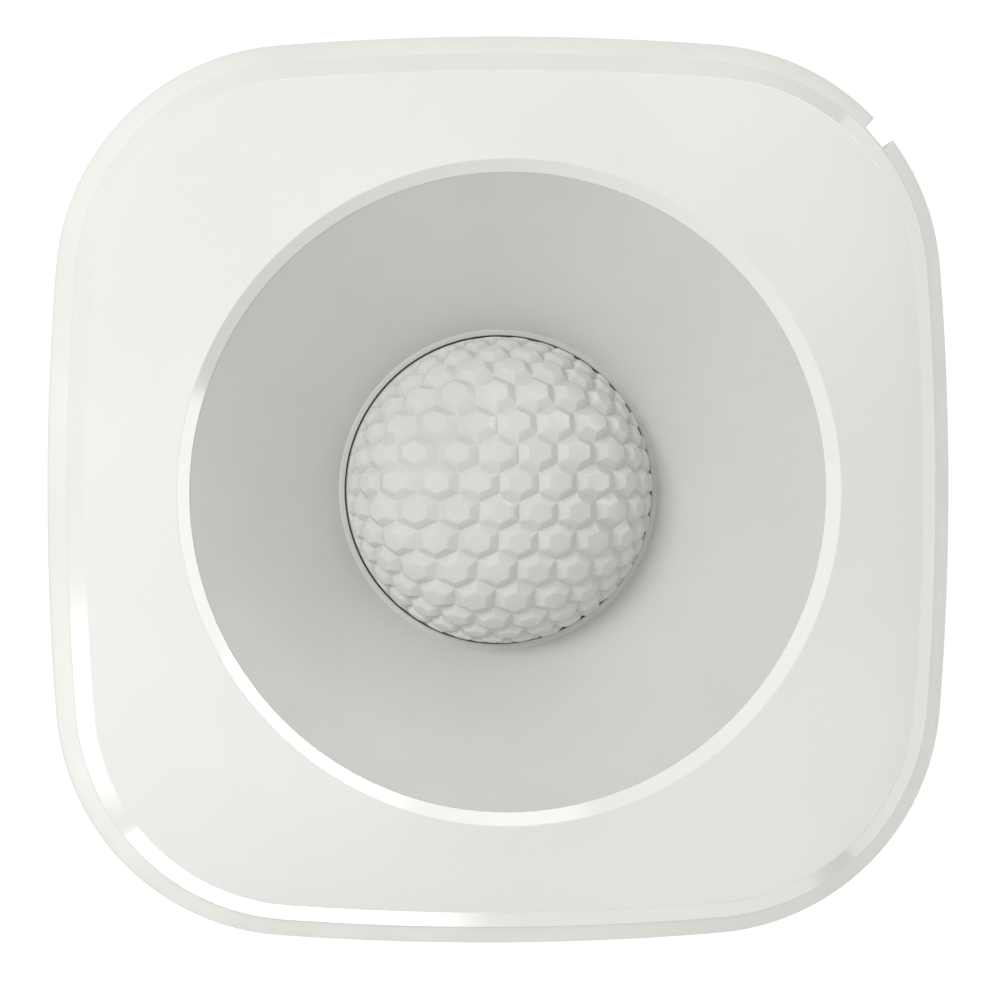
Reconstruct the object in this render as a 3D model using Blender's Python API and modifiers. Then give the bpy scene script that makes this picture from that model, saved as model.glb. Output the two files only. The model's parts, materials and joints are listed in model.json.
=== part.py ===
"""Battery motion sensor for a wall: pull-off front, grey dish, faceted dome lens, AAA cells.

All dimensions are millimetres in a wall frame: x to the right, y up, z out of the wall.
Every mesh is turned upright as it is made, so the wall plane becomes world Y = 0, the front
of the sensor looks along -Y and +Z is up. The origin is the centre of the adhesive pad's
wall face.
"""

import math

import bmesh
import bpy
from mathutils import Matrix, Vector

MM = 0.001
UPRIGHT = Matrix.Rotation(math.radians(90.0), 4, "X") @ Matrix.Scale(MM, 4)
PART_COLLECTION = "motion_sensor"
CUTTER_COLLECTION = "cutters"
SMOOTH_ANGLE = math.radians(32.0)
CLEAR = 0.1

# Body outline: four shallow bowed sides joined by tangent corner arcs.
HALF_SIZE = 32.5
SIDE_RADIUS = 204.5
CORNER_RADIUS = 17.3
SIDE_STEPS = 8
CORNER_STEPS = 10

# Front cover.
RIM_INSET = 1.19
RIM_HEIGHT = 24.3
PANEL_INSET = 2.33
PANEL_HEIGHT = 26.1
RING_RADIUS = 23.9
RING_HEIGHT = 29.0
BORE_RADIUS = 22.9
BORE_HEIGHT = 28.25
CROWN_ROLL_DROP = 0.9
CROWN_ROLL_WIDTH = 2.2
COVER_WALL = 1.8
SKIRT_INSET = 2.1
SKIRT_WALL = 1.2
SKIRT_END = 21.9
CROWN_STATIONS = (0.35, 0.64, 0.78, 0.88, 0.95)
UNDERSIDE_STATIONS = (0.75, 0.4, 0.15)
BOSS_CENTRE = 20.3
BOSS_RADIUS = 2.7
BOSS_FRONT = 27.2
BOSS_BACK = 15.0
BOSS_PILOT_RADIUS = 1.15
BOSS_PILOT_DEPTH = 9.0

# Rear cover: (inset from the outline, height off the wall).
REAR_INNER = ((8.5, 2.6), (6.5, 3.4), (4.6, 6.0), (3.1, 21.6), (2.0, 21.6), (2.0, 24.1))
REAR_OUTER = (
    (1.19, 24.1),
    (0.1, 22.7),
    (0.0, 22.4),
    (0.0, 21.9),
    (0.25, 21.5),
    (1.4, 20.9),
    (3.0, 6.0),
    (3.6, 3.6),
    (5.0, 1.8),
    (7.5, 1.0),
)
REAR_FACE = 1.0
NOTCH_ANGLE = math.radians(40.4)
NOTCH_WIDTH = 2.1
NOTCH_DEPTH = 1.05
NOTCH_SPAN = (20.0, 25.5)
PAD_HALF = 17.0
PAD_CORNER = 3.0
PAD_THICKNESS = 1.25
PAD_RECESS_FLOOR = 1.3
PAD_RECESS_MARGIN = 0.3
KNOCKOUT_OFFSET = 21.2
KNOCKOUT_RADIUS = 2.4
KNOCKOUT_DEPTH = 0.5

# Dish: closed (radius, height) section, from the inner lip out over the cone and back.
DISH_RADIUS = BORE_RADIUS - CLEAR
APERTURE_RADIUS = 11.1
CONE_FOOT = (11.35, 21.7)
CONE_TOP = (DISH_RADIUS, 28.2)
DISH_SECTION = (
    CONE_FOOT,
    CONE_TOP,
    (DISH_RADIUS, 26.3),
    (25.3, 26.3),
    (25.3, 25.2),
    (20.2, 25.2),
    (14.2, 21.9),
    (14.2, 19.7),
    (12.8, 19.7),
    (12.8, 20.6),
    (APERTURE_RADIUS, 20.6),
    (APERTURE_RADIUS, 21.5),
)
DISH_MID_WALL = 0.7
POST_RING = 16.5
POST_ANGLES = tuple(math.radians(a) for a in (90.0, 210.0, 330.0))
POST_RADIUS = 2.0
POST_END = 19.7
POST_TOP = 26.0
SMALL_PILOT_RADIUS = 0.95
SMALL_PILOT_TOP = 21.9

# Dome lens and the ring that holds it.
DOME_BASE_RADIUS = 10.95
DOME_BASE = 21.7
DOME_TOP = 29.85
LENS_WALL = 0.8
LENS_FLANGE_RADIUS = 12.6
LENS_FLANGE = (19.7, 20.5)
DOME_RISE = DOME_TOP - DOME_BASE
DOME_RADIUS = (DOME_BASE_RADIUS ** 2 + DOME_RISE ** 2) / (2.0 * DOME_RISE)
DOME_CENTRE = DOME_TOP - DOME_RADIUS
DOME_STEPS = 8
FACET_PITCH = 2.83
FACET_ROW_PITCH = 2.08
FACET_CENTRE = (0.64, 0.70)
FACET_RISE = 0.35
FACET_SINK = 0.3
FACET_TOP_SHARE = 0.54
FACET_BASE_SHARE = 0.95
FACET_REACH = 13.4
FACET_EVEN_RADIUS = 7.6
RETAINER_SPAN = (18.4, 19.6)
RETAINER_RADII = (10.4, 15.0)
RETAINER_EAR_RADIUS = 2.5

# Sensing element and boards.
BOARD_SPAN = (15.4, 16.6)
BOARD_INSET = 7.3
BOARD_NOTCH_RADIUS = 3.3
ON_BOARD = BOARD_SPAN[1] + 0.05
PEG_CENTRES = ((-21.0, 0.0), (21.0, 0.0))
PEG_RADIUS = 1.0
PEG_SHOULDER_RADIUS = 2.0
PEG_HOLE_RADIUS = 1.2
PEG_TOP = 17.4
HEADER_RADIUS = 4.6
HEADER_THICKNESS = 0.45
CAN_RADIUS = 4.15
CAN_TOP = 21.0
WINDOW_SIZE = (3.0, 4.0)
WINDOW_RECESS = 0.3
LED_CENTRE = (7.4, 0.0)
LED_SIZE = (3.0, 2.0, 0.8)
MCU_CENTRE = (-13.5, -15.0)
MCU_SIZE = (7.0, 7.0, 1.0)
MCU_DIMPLE_RADIUS = 0.5
RADIO_CENTRE = (2.5, -19.3)
RADIO_SIZE = (20.0, 10.6, 0.8)
SHIELD_CENTRE = (0.5, -19.6)
SHIELD_SIZE = (14.0, 8.0, 2.0)
CAPACITOR_CENTRE = (17.0, 9.5)
CAPACITOR_RADIUS = 2.5
CAPACITOR_HEIGHT = 5.4

# Reset button behind the board.
BUTTON_Y = 17.0
TACT_SIZE = 6.0
TACT_SPAN = (12.55, 15.35)
TACT_BORE_RADIUS = 1.85
TACT_BORE_FLOOR = 14.2
PLUNGER_RADIUS = 1.7
PLUNGER_SPAN = (12.1, 13.8)
CAP_FLANGE_RADIUS = 3.3
CAP_FLANGE_SPAN = (11.6, 12.0)
CAP_STEM_RADIUS = 2.5
CAP_END = 8.6
CAP_ROUND = 0.5
TURRET_SIZE = 9.4
TURRET_BORE = 7.0
TURRET_END = 9.4
TURRET_SHELF = 11.4
TURRET_HOLE_RADIUS = 2.7

# Chassis with the battery bay.
CHASSIS_SPAN = (13.7, 14.9)
CHASSIS_INSET = 4.4
CHASSIS_HOLE_RADIUS = 1.3
BAY_CENTRE_Y = -5.0
BAY_INNER = (49.5, 22.4)
BAY_WALL = 1.2
BAY_EDGE = 6.0
BAY_SCOOP_WIDTH = 14.0
BAY_SCOOP_EDGE = 9.0

# AAA cells lie along x, one each way round.
CELL_RADIUS = 5.25
CELL_LENGTH = 43.7
CELL_NUB_RADIUS = 1.9
CELL_NUB = 0.8
CELL_NUB_END = 24.2
CELL_HEIGHT = 8.35
CELL_Y = (0.6, -10.6)
CELL_ROUND = 0.5
CONTACT_X = (24.3, 24.68)
CONTACT_DEPTH = 12.4
CONTACT_TAB = (5.5, 5.88)
CONTACT_TAB_END = 25.8
BRIDGE_Y = (-13.6, 4.0)
POSITIVE_Y = (-14.2, -7.0)
NEGATIVE_Y = (-3.0, 4.2)
SPRING_WIRE = 0.25
SPRING_TURNS = 3.0
SPRING_RADII = (2.0, 3.6)
SPRING_X = (20.75, 23.95)
SPRING_STEPS = 42

# Fasteners.
CASE_HEAD = (12.0, 13.6)
CASE_HEAD_RADIUS = 2.0
CASE_SHANK_RADIUS = 1.0
CASE_SHANK_TOP = 22.5
LENS_SCREW_HEAD = (17.3, 18.3)
LENS_SCREW_HEAD_RADIUS = 1.5
LENS_SCREW_SHANK_RADIUS = 0.75
LENS_SCREW_SHANK_TOP = 21.5
RECESS_WIDTH = 0.5
RECESS_SHARE = 0.62
RECESS_DEPTH_SHARE = 0.5


ROUND_STEPS = 28
SMALL_STEPS = 16
LENS_STEPS = 40
BORE_STEPS = 72

MATERIALS = {
    "gloss_white_abs": ((0.82, 0.81, 0.78), 0.18, 0.0),
    "matt_white_abs": ((0.72, 0.71, 0.68), 0.5, 0.0),
    "satin_grey_abs": ((0.55, 0.55, 0.52), 0.45, 0.0),
    "lens_polyethylene": ((0.62, 0.62, 0.59), 0.4, 0.0),
    "natural_nylon": ((0.6, 0.58, 0.52), 0.5, 0.0),
    "foam_tape": ((0.2, 0.2, 0.2), 0.9, 0.0),
    "green_laminate": ((0.02, 0.16, 0.06), 0.4, 0.0),
    "black_epoxy": ((0.02, 0.02, 0.022), 0.5, 0.0),
    "nickel_plate": ((0.62, 0.6, 0.56), 0.25, 1.0),
    "steel_screw": ((0.5, 0.5, 0.5), 0.3, 1.0),
    "dark_filter": ((0.03, 0.02, 0.03), 0.15, 0.0),
    "led_resin": ((0.75, 0.12, 0.08), 0.2, 0.0),
    "cell_sleeve": ((0.12, 0.2, 0.24), 0.3, 0.0),
    "aluminium_can": ((0.6, 0.62, 0.64), 0.3, 1.0),
    "red_button": ((0.45, 0.04, 0.03), 0.4, 0.0),
}


def clear_scene():
    for item in list(bpy.data.objects):
        bpy.data.objects.remove(item, do_unlink=True)


def make_collection(name):
    collection = bpy.data.collections.new(name)
    bpy.context.scene.collection.children.link(collection)
    return collection


def get_material(name):
    if name in bpy.data.materials:
        return bpy.data.materials[name]
    colour, roughness, metallic = MATERIALS[name]
    material = bpy.data.materials.new(name)
    material.use_nodes = True
    shader = material.node_tree.nodes["Principled BSDF"]
    shader.inputs["Base Color"].default_value = (*colour, 1.0)
    shader.inputs["Roughness"].default_value = roughness
    shader.inputs["Metallic"].default_value = metallic
    return material


def corner_centre():
    """Distance of each corner arc's centre from both mid lines, tangent to the side arcs."""
    side_offset = SIDE_RADIUS - HALF_SIZE
    between = SIDE_RADIUS - CORNER_RADIUS
    return (math.sqrt(2.0 * between ** 2 - side_offset ** 2) - side_offset) / 2.0


def outline(inset):
    """Points of the body outline, moved inwards by a constant distance."""
    side_offset = SIDE_RADIUS - HALF_SIZE
    corner = corner_centre()
    tangent = math.atan2(corner, corner + side_offset)
    points = []
    for quarter in range(4):
        turn = Matrix.Rotation(quarter * math.pi / 2.0, 2)
        for step in range(SIDE_STEPS):
            angle = tangent * (2.0 * step / SIDE_STEPS - 1.0)
            radius = SIDE_RADIUS - inset
            point = Vector((radius * math.cos(angle) - side_offset, radius * math.sin(angle)))
            points.append(turn @ point)
        for step in range(CORNER_STEPS):
            angle = tangent + (math.pi / 2.0 - 2.0 * tangent) * step / CORNER_STEPS
            radius = CORNER_RADIUS - inset
            point = Vector((corner + radius * math.cos(angle), corner + radius * math.sin(angle)))
            points.append(turn @ point)
    return points


def outline_ring(inset, height):
    return [Vector((p.x, p.y, height)) for p in outline(inset)]


def circle_ring(radius, height):
    """A circle with its points at the same bearings as the outline's points."""
    return [Vector((*(p.normalized() * radius), height)) for p in outline(PANEL_INSET)]


def crown_ring(share, drop=0.0):
    """A ring of the front panel, share 0 at the dish ring and 1 at the panel's outer edge."""
    ring = []
    for inner, outer in zip(circle_ring(RING_RADIUS, 0.0), outline_ring(PANEL_INSET, 0.0)):
        spot = inner.lerp(outer, share)
        roll = max(0.0, 1.0 - (outer - spot).length / CROWN_ROLL_WIDTH) ** 2
        slope_drop = (RING_HEIGHT - PANEL_HEIGHT - CROWN_ROLL_DROP) * share
        spot.z = RING_HEIGHT - slope_drop - CROWN_ROLL_DROP * roll - drop
        ring.append(spot)
    return ring


def add_object(name, mesh, material_name=None, cutter=False):
    mesh.name = name
    item = bpy.data.objects.new(name, mesh)
    if cutter:
        cutters.objects.link(item)
        item.hide_render = True
        item.display_type = "WIRE"
    else:
        parts.objects.link(item)
        mesh.materials.clear()
        mesh.materials.append(get_material(material_name))
    return item


def mesh_from(bm):
    """Close off a wall-frame bmesh: outward normals, smooth round faces, upright in metres."""
    bmesh.ops.remove_doubles(bm, verts=bm.verts, dist=1e-4)
    bmesh.ops.recalc_face_normals(bm, faces=bm.faces)
    for face in bm.faces:
        face.smooth = True
    mesh = bpy.data.meshes.new("section")
    bm.to_mesh(mesh)
    bm.free()
    mesh.transform(UPRIGHT)
    mesh.set_sharp_from_angle(angle=SMOOTH_ANGLE)
    return mesh


def add_loft(bm, rings, loop=False):
    """Skin a stack of equal-count rings; an open stack gets a face at each end."""
    rows = [[bm.verts.new(point) for point in ring] for ring in rings]
    count = len(rows[0])
    pairs = list(zip(rows, rows[1:]))
    if loop:
        pairs.append((rows[-1], rows[0]))
    else:
        bm.faces.new(rows[0])
        bm.faces.new(rows[-1])
    for low, high in pairs:
        for i in range(count):
            j = (i + 1) % count
            bm.faces.new((low[i], low[j], high[j], high[i]))


def loft(rings, loop=False):
    bm = bmesh.new()
    add_loft(bm, rings, loop)
    return mesh_from(bm)


def spin(section, centre=(0.0, 0.0), steps=ROUND_STEPS, closed=True):
    """Turn a (radius, height) section about an axis out of the wall with a Screw modifier."""
    mesh = bpy.data.meshes.new("section")
    count = len(section)
    edges = [(i, i + 1) for i in range(count - 1)]
    if closed:
        edges.append((count - 1, 0))
    mesh.from_pydata([(r, 0.0, z) for r, z in section], edges, [])
    blank = bpy.data.objects.new("section", mesh)
    bpy.context.scene.collection.objects.link(blank)
    screw = blank.modifiers.new("Turn", "SCREW")
    screw.axis = "Z"
    screw.angle = 2.0 * math.pi
    screw.steps = steps
    screw.render_steps = steps
    screw.use_merge_vertices = True
    screw.merge_threshold = 0.0001
    depsgraph = bpy.context.evaluated_depsgraph_get()
    turned = bpy.data.meshes.new_from_object(blank.evaluated_get(depsgraph))
    bpy.data.objects.remove(blank, do_unlink=True)
    bm = bmesh.new()
    bm.from_mesh(turned)
    bpy.data.meshes.remove(turned)
    bmesh.ops.translate(bm, verts=bm.verts, vec=(centre[0], centre[1], 0.0))
    return mesh_from(bm)


def disc(radius, low, high, centre=(0.0, 0.0), steps=ROUND_STEPS):
    section = ((0.0, high), (radius, high), (radius, low), (0.0, low))
    return spin(section, centre, steps, closed=False)


def add_block(bm, centre, size):
    placed = Matrix.Translation(centre) @ Matrix.Diagonal((*size, 1.0))
    bmesh.ops.create_cube(bm, size=1.0, matrix=placed)


def block(centre, size):
    bm = bmesh.new()
    add_block(bm, centre, size)
    return mesh_from(bm)


def plate(centre, size, low):
    """A block that stands on a plane parallel to the wall."""
    return block((centre[0], centre[1], low + size[2] / 2.0), size)


def rounded_square(half, radius, steps=6):
    points = []
    for quarter in range(4):
        turn = Matrix.Rotation(quarter * math.pi / 2.0, 2)
        for step in range(steps + 1):
            angle = math.pi / 2.0 * step / steps
            corner = Vector((half - radius, half - radius))
            point = corner + Vector((math.cos(angle), math.sin(angle))) * radius
            points.append(turn @ point)
    return points


def rectangle(wide, tall, centre_y):
    signs = ((1, 1), (-1, 1), (-1, -1), (1, -1))
    return [Vector((sx * wide / 2.0, centre_y + sy * tall / 2.0)) for sx, sy in signs]


def prism(points, low, high):
    return loft([[Vector((p.x, p.y, z)) for p in points] for z in (low, high)])


def boolean(target, name, mesh, operation="DIFFERENCE"):
    tool = add_object(name, mesh, cutter=True)
    modifier = target.modifiers.new(name, "BOOLEAN")
    modifier.operation = operation
    modifier.solver = "EXACT"
    modifier.object = tool


def soften(item, width, segments=2):
    bevel = item.modifiers.new("Soft edges", "BEVEL")
    bevel.width = width * MM
    bevel.segments = segments
    bevel.limit_method = "ANGLE"
    bevel.angle_limit = math.radians(40.0)


def put_origin(item, x, y, z):
    """Move an object's origin to a wall-frame point without moving its mesh."""
    origin = UPRIGHT @ Vector((x, y, z))
    item.data.transform(Matrix.Translation(-origin))
    item.location = origin


def boss_centres():
    return [(sx * BOSS_CENTRE, sy * BOSS_CENTRE) for sx in (-1, 1) for sy in (-1, 1)]


def post_centres():
    return [(POST_RING * math.cos(a), POST_RING * math.sin(a)) for a in POST_ANGLES]


def merged(meshes):
    """Several closed, separate meshes as one mesh."""
    bm = bmesh.new()
    for mesh in meshes:
        bm.from_mesh(mesh)
        bpy.data.meshes.remove(mesh)
    result = bpy.data.meshes.new("section")
    bm.to_mesh(result)
    bm.free()
    return result


def build_front_cover():
    rings = [circle_ring(BORE_RADIUS, RING_HEIGHT - COVER_WALL - 0.2)]
    rings.append(circle_ring(BORE_RADIUS, BORE_HEIGHT))
    rings.append(crown_ring(0.0))
    rings.extend(crown_ring(share) for share in CROWN_STATIONS)
    rings.append(crown_ring(1.0))
    rings.append(outline_ring(RIM_INSET, RIM_HEIGHT))
    rings.append(outline_ring(RIM_INSET, RIM_HEIGHT - CLEAR))
    rings.append(outline_ring(SKIRT_INSET, RIM_HEIGHT - CLEAR))
    rings.append(outline_ring(SKIRT_INSET, SKIRT_END))
    rings.append(outline_ring(SKIRT_INSET + SKIRT_WALL, SKIRT_END))
    rings.append(outline_ring(SKIRT_INSET + SKIRT_WALL, PANEL_HEIGHT - COVER_WALL))
    rings.extend(crown_ring(share, COVER_WALL) for share in UNDERSIDE_STATIONS)
    cover = add_object("front_cover", loft(rings, loop=True), "gloss_white_abs")
    bosses = [disc(BOSS_RADIUS, BOSS_BACK, BOSS_FRONT, c, SMALL_STEPS) for c in boss_centres()]
    boolean(cover, "cover_bosses", merged(bosses), "UNION")
    pilots = [
        disc(BOSS_PILOT_RADIUS, BOSS_BACK - 1.0, BOSS_BACK + BOSS_PILOT_DEPTH, c, SMALL_STEPS)
        for c in boss_centres()
    ]
    boolean(cover, "cover_pilots", merged(pilots))


def build_rear_cover():
    rings = [outline_ring(inset, height) for inset, height in REAR_INNER + REAR_OUTER]
    cover = add_object("rear_cover", loft(rings), "matt_white_abs")
    low, high = NOTCH_SPAN
    reach = 6.0
    corner = corner_centre()
    radial = CORNER_RADIUS - NOTCH_DEPTH + reach / 2.0
    bm = bmesh.new()
    add_block(bm, (0.0, 0.0, 0.0), (reach, NOTCH_WIDTH, high - low))
    out = Vector((math.cos(NOTCH_ANGLE), math.sin(NOTCH_ANGLE)))
    spot = Vector((corner, corner)) + out * radial
    placed = Matrix.Translation((spot.x, spot.y, (low + high) / 2.0))
    bmesh.ops.transform(bm, matrix=placed @ Matrix.Rotation(NOTCH_ANGLE, 4, "Z"), verts=bm.verts)
    boolean(cover, "pry_notch", mesh_from(bm))
    recess = rounded_square(PAD_HALF + PAD_RECESS_MARGIN, PAD_CORNER)
    boolean(cover, "pad_recess", prism(recess, REAR_FACE - 1.0, PAD_RECESS_FLOOR))
    knockouts = [
        disc(KNOCKOUT_RADIUS, REAR_FACE - 1.0, REAR_FACE + KNOCKOUT_DEPTH, (0.0, y))
        for y in (-KNOCKOUT_OFFSET, KNOCKOUT_OFFSET)
    ]
    boolean(cover, "screw_knockouts", merged(knockouts))
    pad = prism(rounded_square(PAD_HALF, PAD_CORNER), 0.0, PAD_THICKNESS)
    add_object("adhesive_pad", pad, "foam_tape")


def build_dish():
    dish = add_object("reflector_dish", spin(DISH_SECTION, steps=BORE_STEPS), "satin_grey_abs")
    posts = [disc(POST_RADIUS, POST_END, POST_TOP, c, SMALL_STEPS) for c in post_centres()]
    post_set = add_object("dish_posts", merged(posts), cutter=True)
    mid_wall = (
        (0.0, CONE_FOOT[1] - DISH_MID_WALL),
        (CONE_FOOT[0], CONE_FOOT[1] - DISH_MID_WALL),
        (CONE_TOP[0], CONE_TOP[1] - DISH_MID_WALL),
        (CONE_TOP[0], CONE_TOP[1] + 1.0),
        (0.0, CONE_TOP[1] + 1.0),
    )
    boolean(post_set, "post_tops", spin(mid_wall, closed=False, steps=BORE_STEPS))
    union = dish.modifiers.new("dish_posts", "BOOLEAN")
    union.operation = "UNION"
    union.solver = "EXACT"
    union.object = post_set
    pilots = [
        disc(SMALL_PILOT_RADIUS, POST_END - 1.0, SMALL_PILOT_TOP, c, steps=SMALL_STEPS)
        for c in post_centres()
    ]
    boolean(dish, "post_pilots", merged(pilots))


def dome_height(radius, sphere_radius=DOME_RADIUS):
    return DOME_CENTRE + math.sqrt(max(sphere_radius ** 2 - radius ** 2, 0.0))


def facet_spot(x, y, lift):
    """Lay a point of the flat facet pattern on the dome, lifted along the dome's normal."""
    flat = Vector((x, y))
    reach = flat.length
    if reach > FACET_EVEN_RADIUS:
        margin = DOME_BASE_RADIUS - FACET_EVEN_RADIUS
        eased = 1.0 - math.exp(-(reach - FACET_EVEN_RADIUS) / margin)
        flat = flat.normalized() * (FACET_EVEN_RADIUS + margin * eased)
    spot = Vector((flat.x, flat.y, dome_height(flat.length)))
    centre = Vector((0.0, 0.0, DOME_CENTRE))
    return spot + (spot - centre).normalized() * lift


def facet_mesh():
    """Six-sided raised facets in offset rows, each a closed frustum let into the dome."""
    bm = bmesh.new()
    rows = math.ceil(FACET_REACH / FACET_ROW_PITCH) + 1
    columns = math.ceil(FACET_REACH / FACET_PITCH) + 1
    half_width = FACET_PITCH / 2.0
    point_height = FACET_ROW_PITCH * 2.0 / 3.0
    corners = (
        (0.0, point_height),
        (-half_width, point_height / 2.0),
        (-half_width, -point_height / 2.0),
        (0.0, -point_height),
        (half_width, -point_height / 2.0),
        (half_width, point_height / 2.0),
    )
    for row in range(-rows, rows + 1):
        for column in range(-columns, columns + 1):
            x = FACET_CENTRE[0] + FACET_PITCH * (column + 0.5 * (row % 2))
            y = FACET_CENTRE[1] + FACET_ROW_PITCH * row
            if math.hypot(x, y) > FACET_REACH:
                continue
            levels = (
                (FACET_BASE_SHARE, -FACET_SINK),
                (FACET_BASE_SHARE, 0.0),
                (FACET_TOP_SHARE, FACET_RISE),
            )
            add_loft(bm, [
                [facet_spot(x + a * share, y + b * share, lift) for a, b in corners]
                for share, lift in levels
            ])
    return mesh_from(bm)


def build_lens():
    inner_radius = DOME_RADIUS - LENS_WALL
    inner_base = DOME_BASE_RADIUS - LENS_WALL
    outer_half = math.asin(DOME_BASE_RADIUS / DOME_RADIUS)
    inner_half = math.asin(inner_base / inner_radius)
    section = []
    for step in range(DOME_STEPS + 1):
        angle = outer_half * step / DOME_STEPS
        section.append((DOME_RADIUS * math.sin(angle), DOME_CENTRE + DOME_RADIUS * math.cos(angle)))
    flange_low, flange_high = LENS_FLANGE
    section.append((DOME_BASE_RADIUS, flange_high))
    section.append((LENS_FLANGE_RADIUS, flange_high))
    section.append((LENS_FLANGE_RADIUS, flange_low))
    section.append((inner_base, flange_low))
    for step in range(DOME_STEPS, -1, -1):
        angle = inner_half * step / DOME_STEPS
        section.append((inner_radius * math.sin(angle), DOME_CENTRE + inner_radius * math.cos(angle)))
    lens = add_object("fresnel_lens", spin(section, steps=LENS_STEPS, closed=False), "lens_polyethylene")
    boolean(lens, "lens_facets", facet_mesh(), "UNION")


def build_retainer():
    inner, outer = RETAINER_RADII
    low, high = RETAINER_SPAN
    section = ((inner, high), (outer, high), (outer, low), (inner, low))
    retainer = add_object("lens_retainer", spin(section, steps=LENS_STEPS), "natural_nylon")
    ears = [disc(RETAINER_EAR_RADIUS, low, high, c, SMALL_STEPS) for c in post_centres()]
    boolean(retainer, "retainer_ears", merged(ears), "UNION")
    holes = [
        disc(SMALL_PILOT_RADIUS, low - 1.0, high + 1.0, c, steps=SMALL_STEPS) for c in post_centres()
    ]
    boolean(retainer, "retainer_holes", merged(holes))
    low, high = LENS_SCREW_HEAD
    for number, centre in enumerate(post_centres(), start=1):
        add_screw(f"retainer_screw_{number}", centre, (low, high), LENS_SCREW_HEAD_RADIUS,
                  LENS_SCREW_SHANK_RADIUS, LENS_SCREW_SHANK_TOP)


def add_screw(name, centre, head, head_radius, shank_radius, shank_top):
    """Pan-head screw driven towards the front, with a cross recess facing the wall."""
    low, high = head
    point = shank_radius * 0.5
    section = (
        (0.0, shank_top),
        (point, shank_top),
        (shank_radius, shank_top - shank_radius),
        (shank_radius, high),
        (head_radius, high),
        (head_radius, high - (high - low) * 0.45),
        (head_radius * 0.86, high - (high - low) * 0.8),
        (head_radius * 0.6, low),
        (0.0, low),
    )
    screw = add_object(name, spin(section, centre, steps=SMALL_STEPS, closed=False), "steel_screw")
    depth = (high - low) * RECESS_DEPTH_SHARE
    span = 2.0 * head_radius * RECESS_SHARE
    middle = (centre[0], centre[1], low - 0.5 + (depth + 0.5) / 2.0)
    boolean(screw, f"{name}_recess_a", block(middle, (span, RECESS_WIDTH, depth + 0.5)))
    boolean(screw, f"{name}_recess_b", block(middle, (RECESS_WIDTH, span, depth + 0.5)))


def build_boards():
    low, high = BOARD_SPAN
    board = add_object("main_board", prism(outline(BOARD_INSET), low, high), "green_laminate")
    notches = [disc(BOARD_NOTCH_RADIUS, low - 1.0, high + 1.0, c) for c in boss_centres()]
    boolean(board, "board_notches", merged(notches))
    pegs = [disc(PEG_HOLE_RADIUS, low - 1.0, high + 1.0, c, steps=SMALL_STEPS) for c in PEG_CENTRES]
    boolean(board, "board_peg_holes", merged(pegs))

    header_top = ON_BOARD + HEADER_THICKNESS
    add_object("pir_header", disc(HEADER_RADIUS, ON_BOARD, header_top), "nickel_plate")
    section = (
        (0.0, CAN_TOP),
        (CAN_RADIUS - 0.4, CAN_TOP),
        (CAN_RADIUS, CAN_TOP - 0.4),
        (CAN_RADIUS, header_top + 0.05),
        (0.0, header_top + 0.05),
    )
    can = add_object("pir_can", spin(section, closed=False), "nickel_plate")
    floor = CAN_TOP - WINDOW_RECESS
    wide, tall = WINDOW_SIZE
    recess = (wide + 2.0 * CLEAR, tall + 2.0 * CLEAR, 1.0)
    boolean(can, "window_recess", plate((0.0, 0.0), recess, floor))
    window = plate((0.0, 0.0), (wide, tall, WINDOW_RECESS), floor + 0.03)
    add_object("pir_window", window, "dark_filter")

    led = add_object("status_led", plate(LED_CENTRE, LED_SIZE, ON_BOARD), "led_resin")
    soften(led, 0.25)
    mcu = add_object("mcu_chip", plate(MCU_CENTRE, MCU_SIZE, ON_BOARD), "black_epoxy")
    soften(mcu, 0.12, 1)
    pin_mark = (MCU_CENTRE[0] - 2.4, MCU_CENTRE[1] + 2.4)
    top = ON_BOARD + MCU_SIZE[2]
    boolean(mcu, "pin_mark", disc(MCU_DIMPLE_RADIUS, top - 0.1, top + 0.5, pin_mark, steps=SMALL_STEPS))
    add_object("radio_board", plate(RADIO_CENTRE, RADIO_SIZE, ON_BOARD), "black_epoxy")
    shield_base = ON_BOARD + RADIO_SIZE[2] + 0.05
    shield = plate(SHIELD_CENTRE, SHIELD_SIZE, shield_base)
    soften(add_object("radio_shield", shield, "nickel_plate"), 0.3)
    section = (
        (0.0, ON_BOARD + CAPACITOR_HEIGHT),
        (CAPACITOR_RADIUS - 0.4, ON_BOARD + CAPACITOR_HEIGHT),
        (CAPACITOR_RADIUS, ON_BOARD + CAPACITOR_HEIGHT - 0.4),
        (CAPACITOR_RADIUS, ON_BOARD + 1.5),
        (CAPACITOR_RADIUS - 0.25, ON_BOARD + 1.2),
        (CAPACITOR_RADIUS, ON_BOARD + 0.9),
        (CAPACITOR_RADIUS, ON_BOARD),
        (0.0, ON_BOARD),
    )
    can = spin(section, CAPACITOR_CENTRE, closed=False)
    add_object("smoothing_capacitor", can, "aluminium_can")


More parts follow.
